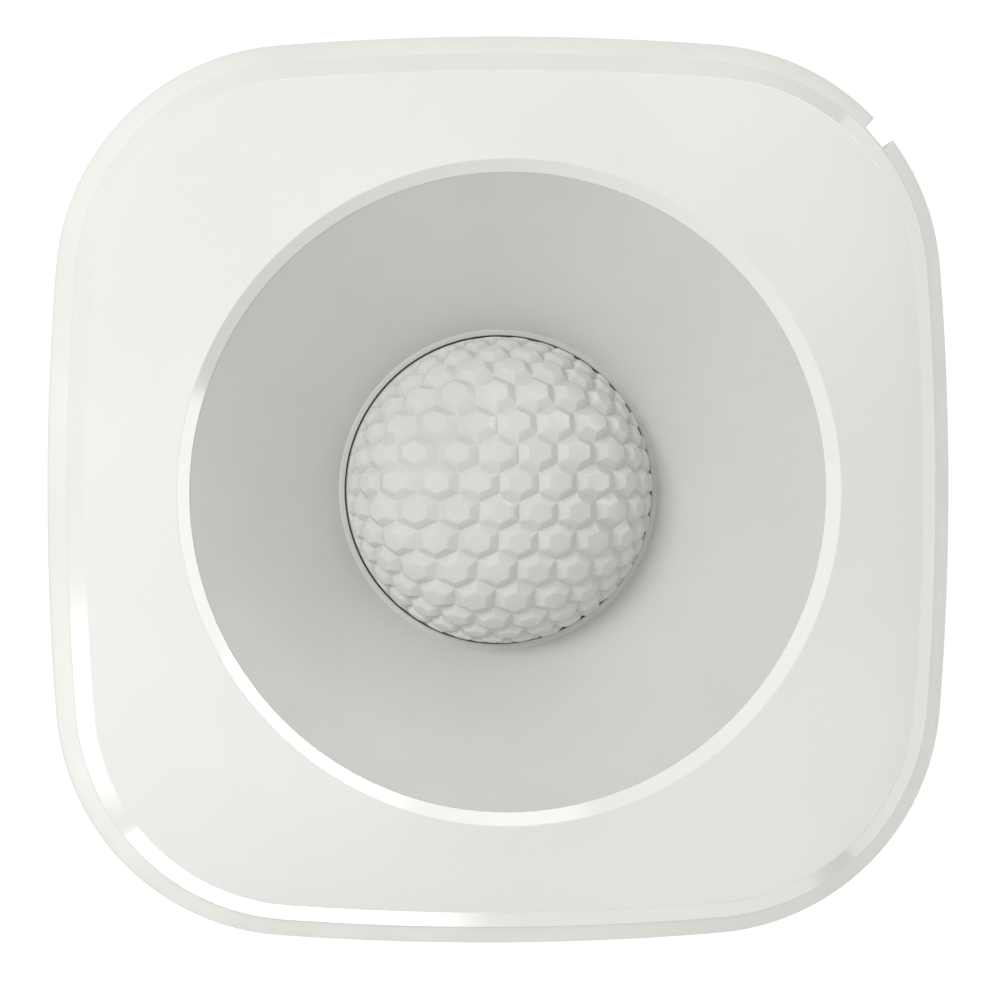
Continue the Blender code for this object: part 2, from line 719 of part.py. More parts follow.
def build_reset_button():
    centre = (0.0, BUTTON_Y)
    low, high = TACT_SPAN
    body = plate(centre, (TACT_SIZE, TACT_SIZE, high - low), low)
    switch = add_object("tact_switch_body", body, "black_epoxy")
    boolean(switch, "tact_bore", disc(TACT_BORE_RADIUS, low - 1.0, TACT_BORE_FLOOR, centre))
    plunger = add_object("tact_plunger", disc(PLUNGER_RADIUS, *PLUNGER_SPAN, centre), "black_epoxy")
    put_origin(plunger, 0.0, BUTTON_Y, PLUNGER_SPAN[1])
    flange_low, flange_high = CAP_FLANGE_SPAN
    section = (
        (0.0, flange_high),
        (CAP_FLANGE_RADIUS, flange_high),
        (CAP_FLANGE_RADIUS, flange_low),
        (CAP_STEM_RADIUS, flange_low),
        (CAP_STEM_RADIUS, CAP_END + CAP_ROUND),
        (CAP_STEM_RADIUS - CAP_ROUND * 0.3, CAP_END + CAP_ROUND * 0.3),
        (CAP_STEM_RADIUS - CAP_ROUND, CAP_END),
        (0.0, CAP_END),
    )
    cap = add_object("reset_button_cap", spin(section, centre, closed=False), "red_button")
    put_origin(cap, 0.0, BUTTON_Y, CAP_END)


def build_chassis():
    low, high = CHASSIS_SPAN
    chassis = add_object("chassis", prism(outline(CHASSIS_INSET), low, high), "matt_white_abs")
    wide, tall = BAY_INNER
    top = low + 0.5
    inner = rectangle(wide, tall, BAY_CENTRE_Y)
    outer = rectangle(wide + 2.0 * BAY_WALL, tall + 2.0 * BAY_WALL, BAY_CENTRE_Y)
    corners = ((inner, top), (inner, BAY_EDGE), (outer, BAY_EDGE), (outer, top))
    rings = [[Vector((p.x, p.y, z)) for p in points] for points, z in corners]
    boolean(chassis, "bay_walls", loft(rings, loop=True), "UNION")
    turret = plate((0.0, BUTTON_Y), (TURRET_SIZE, TURRET_SIZE, high - TURRET_END - 0.3), TURRET_END)
    boolean(chassis, "button_turret", turret, "UNION")
    for number, centre in enumerate(PEG_CENTRES, start=1):
        section = (
            (0.0, PEG_TOP),
            (PEG_RADIUS - 0.3, PEG_TOP),
            (PEG_RADIUS, PEG_TOP - 0.4),
            (PEG_RADIUS, BOARD_SPAN[0] - CLEAR),
            (PEG_SHOULDER_RADIUS, BOARD_SPAN[0] - CLEAR),
            (PEG_SHOULDER_RADIUS, low + 0.4),
            (0.0, low + 0.4),
        )
        peg = spin(section, centre, steps=SMALL_STEPS, closed=False)
        boolean(chassis, f"board_peg_{number}", peg, "UNION")
    bore = plate((0.0, BUTTON_Y), (TURRET_BORE, TURRET_BORE, high - TURRET_SHELF + 1.0), TURRET_SHELF)
    boolean(chassis, "switch_bore", bore)
    hole = disc(TURRET_HOLE_RADIUS, TURRET_END - 1.0, TURRET_SHELF + 1.0, (0.0, BUTTON_Y))
    boolean(chassis, "button_hole", hole)
    holes = [disc(CHASSIS_HOLE_RADIUS, low - 1.0, high + 1.0, c, steps=SMALL_STEPS) for c in boss_centres()]
    boolean(chassis, "chassis_holes", merged(holes))
    scoop_size = (BAY_SCOOP_WIDTH, tall + 4.0 * BAY_WALL, BAY_SCOOP_EDGE - BAY_EDGE + 1.0)
    scoop = plate((0.0, BAY_CENTRE_Y), scoop_size, BAY_EDGE - 1.0)
    boolean(chassis, "finger_scoop", scoop)
    for number, centre in enumerate(boss_centres(), start=1):
        add_screw(f"case_screw_{number}", centre, CASE_HEAD, CASE_HEAD_RADIUS,
                  CASE_SHANK_RADIUS, CASE_SHANK_TOP)


def build_cell(name, y, towards):
    """An AAA cell whose positive nub points to -x or +x."""
    nub_end = CELL_NUB_END
    shoulder = nub_end - CELL_NUB
    base = shoulder - CELL_LENGTH
    section = (
        (0.0, nub_end),
        (CELL_NUB_RADIUS, nub_end),
        (CELL_NUB_RADIUS, shoulder),
        (CELL_RADIUS - CELL_ROUND, shoulder),
        (CELL_RADIUS, shoulder - CELL_ROUND),
        (CELL_RADIUS, base + CELL_ROUND),
        (CELL_RADIUS - CELL_ROUND, base),
        (0.0, base),
    )
    mesh = spin(section, closed=False)
    lay_down = Matrix.Rotation(math.radians(90.0) * towards, 4, "Z")
    mesh.transform(lay_down)
    mesh.transform(Matrix.Translation(UPRIGHT @ Vector((0.0, y, CELL_HEIGHT))))
    add_object(name, mesh, "cell_sleeve")


def build_contact(name, side, span_y):
    """A plate against the bay's end wall with a tab folded over the wall's edge."""
    near, far = CONTACT_X
    tab_low, tab_high = CONTACT_TAB
    bend = (
        (near, CONTACT_DEPTH),
        (far, CONTACT_DEPTH),
        (far, tab_high),
        (CONTACT_TAB_END, tab_high),
        (CONTACT_TAB_END, tab_low),
        (near, tab_low),
    )
    rings = [[Vector((side * x, y, z)) for x, z in bend] for y in span_y]
    add_object(name, loft(rings), "nickel_plate")


def build_spring(name, side, y):
    """A tapering coil between a cell's flat end and its contact plate."""
    curve = bpy.data.curves.new(name, "CURVE")
    curve.dimensions = "3D"
    curve.bevel_depth = SPRING_WIRE
    curve.bevel_resolution = 2
    curve.use_fill_caps = True
    spline = curve.splines.new("POLY")
    spline.points.add(SPRING_STEPS)
    for step, point in enumerate(spline.points):
        share = step / SPRING_STEPS
        radius = SPRING_RADII[0] + (SPRING_RADII[1] - SPRING_RADII[0]) * share
        angle = 2.0 * math.pi * SPRING_TURNS * share
        x = SPRING_X[0] + (SPRING_X[1] - SPRING_X[0]) * share
        point.co = (side * x, y + radius * math.cos(angle),
                    CELL_HEIGHT + radius * math.sin(angle), 1.0)
    wire = bpy.data.objects.new(name, curve)
    bpy.context.scene.collection.objects.link(wire)
    depsgraph = bpy.context.evaluated_depsgraph_get()
    coil = bpy.data.meshes.new_from_object(wire.evaluated_get(depsgraph))
    bpy.data.objects.remove(wire, do_unlink=True)
    bm = bmesh.new()
    bm.from_mesh(coil)
    bpy.data.meshes.remove(coil)
    add_object(name, mesh_from(bm), "nickel_plate")


def build_battery_set():
    build_cell("battery_1", CELL_Y[0], -1)
    build_cell("battery_2", CELL_Y[1], 1)
    build_spring("contact_spring_1", 1, CELL_Y[0])
    build_spring("contact_spring_2", -1, CELL_Y[1])
    build_contact("bridge_contact", -1, BRIDGE_Y)
    build_contact("positive_contact", 1, POSITIVE_Y)
    build_contact("negative_contact", 1, NEGATIVE_Y)


clear_scene()
parts = make_collection(PART_COLLECTION)
cutters = make_collection(CUTTER_COLLECTION)
build_rear_cover()
build_front_cover()
build_dish()
build_lens()
build_retainer()
build_boards()
build_reset_button()
build_chassis()
build_battery_set()
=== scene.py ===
import json
import math

import bmesh
import bpy
import numpy as np
from mathutils import Matrix, Vector


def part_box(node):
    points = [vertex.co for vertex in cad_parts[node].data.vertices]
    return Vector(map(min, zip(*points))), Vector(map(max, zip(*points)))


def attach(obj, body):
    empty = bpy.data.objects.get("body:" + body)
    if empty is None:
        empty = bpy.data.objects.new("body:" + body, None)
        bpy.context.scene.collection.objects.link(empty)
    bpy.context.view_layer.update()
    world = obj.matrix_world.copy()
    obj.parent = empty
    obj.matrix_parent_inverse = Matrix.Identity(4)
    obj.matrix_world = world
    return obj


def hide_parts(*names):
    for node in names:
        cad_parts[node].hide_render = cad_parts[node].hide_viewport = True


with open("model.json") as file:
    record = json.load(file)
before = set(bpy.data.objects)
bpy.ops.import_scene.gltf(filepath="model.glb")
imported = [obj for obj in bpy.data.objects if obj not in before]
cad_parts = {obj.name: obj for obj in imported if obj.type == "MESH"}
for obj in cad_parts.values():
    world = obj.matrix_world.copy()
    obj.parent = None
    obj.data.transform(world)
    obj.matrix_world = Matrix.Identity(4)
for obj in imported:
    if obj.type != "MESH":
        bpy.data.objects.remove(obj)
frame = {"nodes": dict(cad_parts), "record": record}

# Shapes are in millimetres in a wall frame: x right, y up, z out of the wall.
MM = 0.001
UPRIGHT = Matrix.Rotation(math.radians(90.0), 4, "X") @ Matrix.Scale(MM, 4)
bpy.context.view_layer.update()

REAR, MODULE, BUTTON = "rear_shell", "sensor_module", "reset_button"
SMOOTH_ANGLE = math.radians(28.0)
LENS_SMOOTH_ANGLE = math.radians(40.0)
WELD = 1e-4

# ---- sizes read from the frame ---------------------------------------------------------


def span(node, axis):
    low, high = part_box(node)
    return low[axis] / MM, high[axis] / MM


HALF_SIZE = span("rear_cover", 0)[1]
FRONT = -span("front_cover", 1)[0]
RIM_BACK = -span("rear_cover", 1)[0]
REAR_FACE = -span("rear_cover", 1)[1]
LENS_FRONT = -span("fresnel_lens", 1)[0]
LENS_BACK = -span("fresnel_lens", 1)[1]
LENS_FLANGE_RADIUS = span("fresnel_lens", 0)[1]
PAD_HALF = span("adhesive_pad", 0)[1]
PAD_FRONT = -span("adhesive_pad", 1)[0]

# Outline: four bowed sides and four corner arcs.
SIDE_RADIUS = 204.5
CORNER_RADIUS = 17.3
SIDE_STEPS = 24
CORNER_STEPS = 24

# Rear cover: (inset from the outline, height) from the back of its floor round the rim.
REAR_INNER = ((8.5, 2.6), (7.2, 2.9), (6.2, 3.6), (5.4, 4.6), (4.6, 6.0), (3.1, 21.6),
              (2.0, 21.6), (2.0, RIM_BACK))
REAR_OUTER = ((1.19, RIM_BACK), (0.1, 22.7), (0.02, 22.5), (0.0, 22.3), (0.0, 22.0),
              (0.06, 21.75), (0.25, 21.5), (1.1, 21.05), (1.4, 20.75), (3.0, 6.0),
              (3.25, 4.7), (3.7, 3.5), (4.4, 2.4), (5.3, 1.6), (6.3, 1.15), (7.5, REAR_FACE))
REAR_EDGE_RADIUS = 0.06
NOTCH_ANGLE = math.radians(40.4)
NOTCH_SIZE = (6.0, 2.1, 5.5)
NOTCH_DEPTH = 1.05
NOTCH_HEIGHT = 22.75
PAD_CORNER = 3.0
PAD_SLACK = 0.3
PAD_RECESS = 1.3
PAD_EDGE = 0.15
PAD_ROUND = 0.12
PAD_WAIST = 0.04
KNOCKOUT_RADIUS = 2.4
KNOCKOUT_DEPTH = 1.5
KNOCKOUT_Y = 21.2

# Front cover: crowned panel, flat outer chamfer and chamfered ring round the dish.
RIM_INSET = 1.19
RIM_HEIGHT = RIM_BACK + 0.2
RIM_LAND = 0.1
PANEL_INSET = 2.33
PANEL_HEIGHT = 26.1
PANEL_RINGS = 22
PANEL_SPACING = 0.9
RING_RADIUS = 23.9
BORE_RADIUS = 22.9
BORE_DROP = 0.75
BORE_LIP = 0.2
CROWN_ROLL_DROP = 0.1
CROWN_ROLL_WIDTH = 2.2
COVER_WALL = 1.8
COVER_EDGE_RADIUS = 0.04
SKIRT_INSET = 2.1
SKIRT_WALL = 1.2
SKIRT_END = 21.9
BOSS_PLACE = 20.3
BOSS_HOLE_RADIUS = 1.15
BOSS_RADIUS = 2.7
BOSS_FOOT = 15.0
BOSS_HOLE_END = 24.0
BOSS_TOP = 26.6

# Dish: a cone from the lip round the lens up to the ring, with a flange and posts behind.
DISH_FOOT = (11.48, 21.78)
DISH_LIP = ((11.07, 21.5), (11.07, 21.8), (11.12, 21.86), (11.38, 21.86), (11.44, 21.8))
DISH_BACK = ((22.8, 26.3), (25.3, 26.3), (25.3, 25.2), (20.2, 25.2), (14.2, 21.9),
             (14.2, 19.7), (12.8, 19.7), (12.8, 20.6), (11.07, 20.6))
DISH_BORE_GAP = 0.005
DISH_BORE_SINK = 0.04
DISH_STEPS = 24
POST_ANGLES = (90.0, 210.0, 330.0)
POST_PLACE = 16.5
POST_HOLE_RADIUS = 0.95
POST_RADIUS = 2.0
POST_FOOT = 19.7
POST_HOLE_END = 21.6
POST_TOP = 22.2
TURNED_CHAMFER = 0.1

# Lens: a dome shell with raised six-sided facets, even in the middle and crowded at the edge.
DOME_BASE_RADIUS = 10.95
DOME_BASE = 21.7
DOME_WALL = 0.8
DOME_FOOT = 20.55
DOME_AROUND = 720
DOME_RINGS = 190
DOME_INNER_RINGS = 16
FLANGE_TOP = 20.5
FLANGE_EDGE = 0.1
FACET_RISE = 0.5
DOME_TOP = LENS_FRONT - FACET_RISE
FACET_PITCH = 2.83
FACET_ROW_PITCH = 2.08
FACET_CENTRE = (0.64, 0.70)
FACET_TOP_SHARE = 0.54
FACET_EVEN_RADIUS = 7.6
FACET_FADE_START = 0.05
FACET_FADE_WIDTH = 0.35
FACET_CROWD_LIMIT = 0.02

# Cells: (radius, place along the axis), the plus end first, round the sleeve's radius.
CELL_PLUS = ((0.0, 24.2), (1.6, 24.2), (1.9, 24.05), (1.9, 23.35), (2.3, 23.2), (4.3, 23.2),
             (4.5, 23.3), (4.75, 23.4), (5.0, 23.3))
CELL_SLEEVE = (23.0, 12.0, 11.9, -19.9)
CELL_MINUS = ((5.0, -20.2), (4.7, -20.3), (4.5, -20.1), (4.3, -20.05), (0.0, -20.05))
CELL_BAND_START = 12.0
CELL_CAP_RADIUS = 4.45

# Coil springs between the cells and the chassis walls.
COIL_WIRE_RADIUS = 0.25
COIL_TURNS = 3.0
COIL_STEPS = 150
COIL_START = 20.75
COIL_LENGTH = 3.2
COIL_RADIUS = 2.0
COIL_FLARE = 1.6
COIL_HEIGHT = 8.35
COIL_Y = {"contact_spring_1": 0.6, "contact_spring_2": -10.6}

# Case screws, from the tip down to the pan head.
SCREW_TIP = ((0.0, 22.5), (0.4, 22.3))
SCREW_HEAD = ((1.0, 13.6), (1.95, 13.6), (2.0, 13.5), (2.0, 12.9), (1.9, 12.5), (1.6, 12.15),
              (1.1, 12.0), (0.0, 12.0))
THREAD_START = 21.8
THREAD_PITCH = 0.7
THREAD_TURNS = 12
THREAD_ROOT = 0.82
THREAD_CREST = 1.0
RECESS_HEIGHT = 12.2
RECESS_SIZES = ((2.4, 0.45, 1.2), (0.45, 2.4, 1.2))

BUTTON_Y = 17.0
BUTTON_SECTION = ((0.0, 12.0), (3.2, 12.0), (3.3, 11.9), (3.3, 11.7), (3.2, 11.6), (2.5, 11.6),
                  (2.5, 9.1), (2.42, 8.85), (2.25, 8.67), (2.0, 8.6), (1.7, 8.6), (1.2, 8.72),
                  (0.0, 8.8))


# ---- mesh helpers ----------------------------------------------------------------------


def corner_centre():
    offset = SIDE_RADIUS - HALF_SIZE
    between = SIDE_RADIUS - CORNER_RADIUS
    return (math.sqrt(2.0 * between ** 2 - offset ** 2) - offset) / 2.0


def outline(inset):
    """The bowed square outline, moved inwards by a constant distance."""
    offset = SIDE_RADIUS - HALF_SIZE
    corner = corner_centre()
    tangent = math.atan2(corner, corner + offset)
    points = []
    for quarter in range(4):
        turn = Matrix.Rotation(quarter * math.pi / 2.0, 2)
        for step in range(SIDE_STEPS):
            angle = tangent * (2.0 * step / SIDE_STEPS - 1.0)
            radius = SIDE_RADIUS - inset
            spot = Vector((radius * math.cos(angle) - offset, radius * math.sin(angle)))
            points.append(turn @ spot)
        for step in range(CORNER_STEPS):
            angle = tangent + (math.pi / 2.0 - 2.0 * tangent) * step / CORNER_STEPS
            radius = CORNER_RADIUS - inset
            spot = Vector((corner + radius * math.cos(angle), corner + radius * math.sin(angle)))
            points.append(turn @ spot)
    return points


PANEL_OUTLINE = outline(PANEL_INSET)


def outline_ring(inset, height):
    return [Vector((p.x, p.y, height)) for p in outline(inset)]


def circle_ring(radius, height):
    return [Vector((*(p.normalized() * radius), height)) for p in PANEL_OUTLINE]


def crown_ring(share, drop=0.0):
    """A ring of the crowned panel: share 0 at the dish ring, 1 at the outer edge."""
    ring = []
    for inner, outer in zip(circle_ring(RING_RADIUS, 0.0), outline_ring(PANEL_INSET, 0.0)):
        spot = inner.lerp(outer, share)
        roll = max(0.0, 1.0 - (outer - spot).length / CROWN_ROLL_WIDTH) ** 2
        slope_drop = (FRONT - PANEL_HEIGHT - CROWN_ROLL_DROP) * share
        spot.z = FRONT - slope_drop - CROWN_ROLL_DROP * roll - drop
        ring.append(spot)
    return ring


def skin(bm, rings, loop=False, caps=True):
    rows = [[bm.verts.new(point) for point in ring] for ring in rings]
    pairs = list(zip(rows, rows[1:]))
    if loop:
        pairs.append((rows[-1], rows[0]))
    elif caps:
        bm.faces.new(rows[0])
        bm.faces.new(rows[-1])
    count = len(rows[0])
    for low, high in pairs:
        for i in range(count):
            j = (i + 1) % count
            bm.faces.new((low[i], low[j], high[j], high[i]))


def finish_mesh(bm, upright, sharp_angle):
    for face in bm.faces:
        face.smooth = True
    mesh = bpy.data.meshes.new("piece")
    bm.to_mesh(mesh)
    bm.free()
    mesh.transform(upright)
    mesh.set_sharp_from_angle(angle=sharp_angle)
    return mesh


def close(bm, upright=UPRIGHT):
    bmesh.ops.remove_doubles(bm, verts=bm.verts, dist=WELD)
    bmesh.ops.recalc_face_normals(bm, faces=bm.faces)
    return finish_mesh(bm, upright, SMOOTH_ANGLE)


def loft(rings, loop=False):
    bm = bmesh.new()
    skin(bm, rings, loop)
    return close(bm)


def spin(section, centre=(0.0, 0.0), steps=96, closed=True, upright=UPRIGHT):
    """Turn a (radius, height) section about the axis out of the wall."""
    rings = []
    for radius, height in section:
        ring = []
        for step in range(steps):
            angle = 2.0 * math.pi * step / steps
            ring.append(Vector((centre[0] + radius * math.cos(angle),
                                centre[1] + radius * math.sin(angle), height)))
        rings.append(ring)
    bm = bmesh.new()
    skin(bm, rings, loop=closed, caps=False)
    bmesh.ops.remove_doubles(bm, verts=bm.verts, dist=WELD)
    bmesh.ops.dissolve_degenerate(bm, edges=bm.edges, dist=WELD / 10.0)
    return close(bm, upright)


def sleeve(hole, radius, foot, hole_end, top):
    """Section of a post with a blind screw hole, chamfered at its open end."""
    return ((0.0, hole_end), (hole, hole_end), (hole, foot), (radius - TURNED_CHAMFER, foot),
            (radius, foot + TURNED_CHAMFER), (radius, top), (0.0, top))


def block(centre, size, turn=0.0):
    bm = bmesh.new()
    placed = Matrix.Translation(centre) @ Matrix.Rotation(turn, 4, "Z")
    bmesh.ops.create_cube(bm, size=1.0, matrix=placed @ Matrix.Diagonal((*size, 1.0)))
    return close(bm)


def piece(name, mesh, body, materials, *replaced, slot=None):
    mesh.name = name
    item = bpy.data.objects.new(name, mesh)
    bpy.context.scene.collection.objects.link(item)
    mesh.materials.clear()
    for material in materials:
        mesh.materials.append(material)
    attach(item, body)
    if replaced:
        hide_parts(*replaced)
    return item


def carve(item, mesh):
    """Cut a mesh out of a piece and make the cut real."""
    tool = bpy.data.objects.new("carve_tool", mesh)
    bpy.context.scene.collection.objects.link(tool)
    cut = item.modifiers.new("carve", "BOOLEAN")
    cut.operation = "DIFFERENCE"
    cut.solver = "EXACT"
    cut.object = tool
    bpy.context.view_layer.update()
    result = bpy.data.meshes.new_from_object(
        item.evaluated_get(bpy.context.evaluated_depsgraph_get()))
    item.modifiers.remove(cut)
    item.data = result
    bpy.data.objects.remove(tool, do_unlink=True)


def round_edges(item, width, degrees, miter="MITER_ARC"):
    """Small moulded radius along every crease sharper than the given angle."""
    bevel = item.modifiers.new("moulded_radius", "BEVEL")
    bevel.width = width * MM
    bevel.segments = 2
    bevel.limit_method = "ANGLE"
    bevel.angle_limit = math.radians(degrees)
    bevel.use_clamp_overlap = True
    bevel.miter_outer = miter


# ---- materials -------------------------------------------------------------------------


def srgb(*levels):
    values = [level / 255.0 for level in levels]
    linear = [v / 12.92 if v <= 0.04045 else ((v + 0.055) / 1.055) ** 2.4 for v in values]
    return (*linear, 1.0)


class Surface:
    """A Principled material with noise-driven colour, roughness and bump in object space."""

    def __init__(self, name, **fixed):
        self.material = bpy.data.materials.new(name)
        self.material.use_nodes = True
        self.tree = self.material.node_tree
        self.shader = self.tree.nodes["Principled BSDF"]
        for socket, value in fixed.items():
            self.shader.inputs[socket.replace("_", " ")].default_value = value
        self.coords = self.tree.nodes.new("ShaderNodeTexCoord")
        self.bump_chain = None

    def noise(self, scale, detail=4.0, roughness=0.6):
        node = self.tree.nodes.new("ShaderNodeTexNoise")
        node.inputs["Scale"].default_value = scale
        node.inputs["Detail"].default_value = detail
        node.inputs["Roughness"].default_value = roughness
        self.tree.links.new(self.coords.outputs["Object"], node.inputs["Vector"])
        return node.outputs["Fac"]

    def ranged(self, source, low, high, start=0.35, end=0.65):
        node = self.tree.nodes.new("ShaderNodeMapRange")
        node.inputs["From Min"].default_value = start
        node.inputs["From Max"].default_value = end
        node.inputs["To Min"].default_value = low
        node.inputs["To Max"].default_value = high
        self.tree.links.new(source, node.inputs["Value"])
        return node.outputs["Result"]

    def colour(self, first, second, scale, detail=4.0):
        node = self.tree.nodes.new("ShaderNodeMix")
        node.data_type = "RGBA"
        node.inputs["A"].default_value = first
        node.inputs["B"].default_value = second
        self.tree.links.new(self.ranged(self.noise(scale, detail), 0.0, 1.0),
                            node.inputs["Factor"])
        self.tree.links.new(node.outputs["Result"], self.shader.inputs["Base Color"])
        return self

    def rough(self, low, high, scale):
        self.tree.links.new(self.ranged(self.noise(scale), low, high),
                            self.shader.inputs["Roughness"])
        return self

    def bump(self, scale, depth_mm, detail=3.0, source=None):
        node = self.tree.nodes.new("ShaderNodeBump")
        node.inputs["Strength"].default_value = 1.0
        node.inputs["Distance"].default_value = depth_mm * MM
        self.tree.links.new(source or self.noise(scale, detail), node.inputs["Height"])
        if self.bump_chain:
            self.tree.links.new(self.bump_chain, node.inputs["Normal"])
        self.bump_chain = node.outputs["Normal"]
        self.tree.links.new(self.bump_chain, self.shader.inputs["Normal"])
        return self


def make_materials():
    made = {}

    def add(name, first, second, scale, rough, bumps, **fixed):
        surface = Surface(name, **fixed)
        surface.colour(first, second, scale).rough(rough[0], rough[1], scale * 3.0)
        for bump_scale, depth in bumps:
            surface.bump(bump_scale, depth)
        made[name] = surface.material

    add("gloss_white_abs", srgb(234, 233, 229), srgb(231, 230, 226), 60.0, (0.09, 0.15),
        ((90.0, 0.010), (2500.0, 0.0006)))
    add("matt_white_abs", srgb(236, 235, 229), srgb(231, 230, 224), 90.0, (0.42, 0.55),
        ((2200.0, 0.012), (7000.0, 0.006)))
    add("satin_grey_abs", srgb(205, 204, 199), srgb(200, 199, 194), 70.0, (0.4, 0.55),
        ((1800.0, 0.008), (6000.0, 0.004)))
    add("lens_polyethylene", srgb(213, 212, 208), srgb(208, 207, 203), 300.0, (0.3, 0.42),
        ((900.0, 0.006),), Specular_IOR_Level=0.4)
    add("natural_nylon", srgb(226, 222, 208), srgb(218, 214, 200), 200.0, (0.4, 0.55),
        ((1500.0, 0.01),))
    add("foam_tape", srgb(196, 196, 194), srgb(176, 176, 174), 1400.0, (0.85, 0.98),
        ((1600.0, 0.12), (5000.0, 0.05)))
    add("green_laminate", srgb(18, 92, 48), srgb(14, 78, 40), 250.0, (0.3, 0.42),
        ((3000.0, 0.01),))
    add("black_epoxy", srgb(38, 38, 40), srgb(30, 30, 32), 800.0, (0.45, 0.6),
        ((3500.0, 0.012),))
    add("nickel_plate", srgb(206, 203, 196), srgb(190, 187, 180), 400.0, (0.18, 0.34),
        ((2500.0, 0.003),), Metallic=1.0)
    add("steel_screw", srgb(196, 198, 202), srgb(176, 178, 184), 600.0, (0.22, 0.4),
        ((2000.0, 0.006),), Metallic=1.0)
    add("dark_filter", srgb(40, 30, 40), srgb(34, 26, 36), 300.0, (0.08, 0.14), ((900.0, 0.001),))
    add("led_resin", srgb(210, 70, 58), srgb(196, 60, 50), 900.0, (0.12, 0.2), ((900.0, 0.002),))
    add("cell_sleeve", srgb(38, 62, 74), srgb(34, 56, 68), 300.0, (0.22, 0.34),
        ((700.0, 0.006),), Coat_Weight=0.4)
    add("cell_band", srgb(196, 140, 84), srgb(184, 128, 74), 500.0, (0.24, 0.36),
        ((700.0, 0.006),), Metallic=0.8)
    add("aluminium_can", srgb(198, 200, 204), srgb(184, 186, 190), 500.0, (0.22, 0.38),
        ((1800.0, 0.004),), Metallic=1.0)
    add("red_button", srgb(186, 48, 38), srgb(172, 40, 32), 500.0, (0.35, 0.5),
        ((2200.0, 0.01),))
    add("studio_floor", srgb(240, 240, 240), srgb(236, 236, 236), 6.0, (0.7, 0.8), ((60.0, 0.1),))
    return made


M = make_materials()

# ---- rear shell ------------------------------------------------------------------------


def rounded_square(half, radius, height, steps=10):
    ring = []
    for quarter in range(4):
        turn = Matrix.Rotation(quarter * math.pi / 2.0, 2)
        for step in range(steps + 1):
            angle = math.pi / 2.0 * step / steps
            spot = Vector((half - radius, half - radius))
            spot += Vector((math.cos(angle), math.sin(angle))) * radius
            ring.append(Vector((*(turn @ spot), height)))
    return ring


def build_rear_cover():
    rings = [outline_ring(inset, height) for inset, height in REAR_INNER + REAR_OUTER]
    cover = piece("rear_cover_shell", loft(rings), REAR, [M["matt_white_abs"]], "rear_cover",
                  slot="matt_white_abs")
    reach = CORNER_RADIUS - NOTCH_DEPTH + NOTCH_SIZE[0] / 2.0
    corner = corner_centre()
    spot = (corner + reach * math.cos(NOTCH_ANGLE), corner + reach * math.sin(NOTCH_ANGLE),
            NOTCH_HEIGHT)
    carve(cover, block(spot, NOTCH_SIZE, NOTCH_ANGLE))
    recess = [rounded_square(PAD_HALF + PAD_SLACK, PAD_CORNER, z) for z in (0.0, PAD_RECESS)]
    carve(cover, loft(recess))
    knockout = ((0.0, 0.0), (KNOCKOUT_RADIUS, 0.0), (KNOCKOUT_RADIUS, KNOCKOUT_DEPTH),
                (0.0, KNOCKOUT_DEPTH))
    for y in (-KNOCKOUT_Y, KNOCKOUT_Y):
        carve(cover, spin(knockout, (0.0, y), steps=48, closed=False))
    round_edges(cover, REAR_EDGE_RADIUS, 35.0)


def build_pad():
    levels = ((PAD_EDGE, 0.0), (0.0, PAD_ROUND), (PAD_WAIST, PAD_FRONT / 2.0),
              (0.0, PAD_FRONT - PAD_ROUND), (PAD_EDGE, PAD_FRONT))
    pad_rings = [rounded_square(PAD_HALF - inset, PAD_CORNER - inset, z) for inset, z in levels]
    piece("foam_pad", loft(pad_rings), REAR, [M["foam_tape"]], "adhesive_pad", slot="foam_tape")


# ---- front cover -----------------------------------------------------------------------


def build_front_cover():
    rings = [circle_ring(BORE_RADIUS, FRONT - COVER_WALL - BORE_LIP),
             circle_ring(BORE_RADIUS, FRONT - BORE_DROP)]
    rings.extend(crown_ring((i / PANEL_RINGS) ** PANEL_SPACING) for i in range(PANEL_RINGS + 1))
    inner_inset = SKIRT_INSET + SKIRT_WALL
    for inset, height in ((RIM_INSET, RIM_HEIGHT), (RIM_INSET, RIM_HEIGHT - RIM_LAND),
                          (SKIRT_INSET, RIM_HEIGHT - RIM_LAND), (SKIRT_INSET, SKIRT_END),
                          (inner_inset, SKIRT_END), (inner_inset, PANEL_HEIGHT - COVER_WALL)):
        rings.append(outline_ring(inset, height))
    rings.extend(crown_ring(share, COVER_WALL) for share in (0.75, 0.4, 0.15))
    cover = piece("front_cover_shell", loft(rings, loop=True), MODULE, [M["gloss_white_abs"]],
                  "front_cover", slot="gloss_white_abs")
    round_edges(cover, COVER_EDGE_RADIUS, 9.0, miter="MITER_SHARP")


def build_bosses():
    section = sleeve(BOSS_HOLE_RADIUS, BOSS_RADIUS, BOSS_FOOT, BOSS_HOLE_END, BOSS_TOP)
    for number, (sx, sy) in enumerate(((-1, -1), (-1, 1), (1, -1), (1, 1)), start=1):
        centre = (sx * BOSS_PLACE, sy * BOSS_PLACE)
        piece(f"cover_boss_{number}", spin(section, centre, 48, closed=False), MODULE,
              [M["gloss_white_abs"]], slot="gloss_white_abs")


# ---- dish and lens ---------------------------------------------------------------------


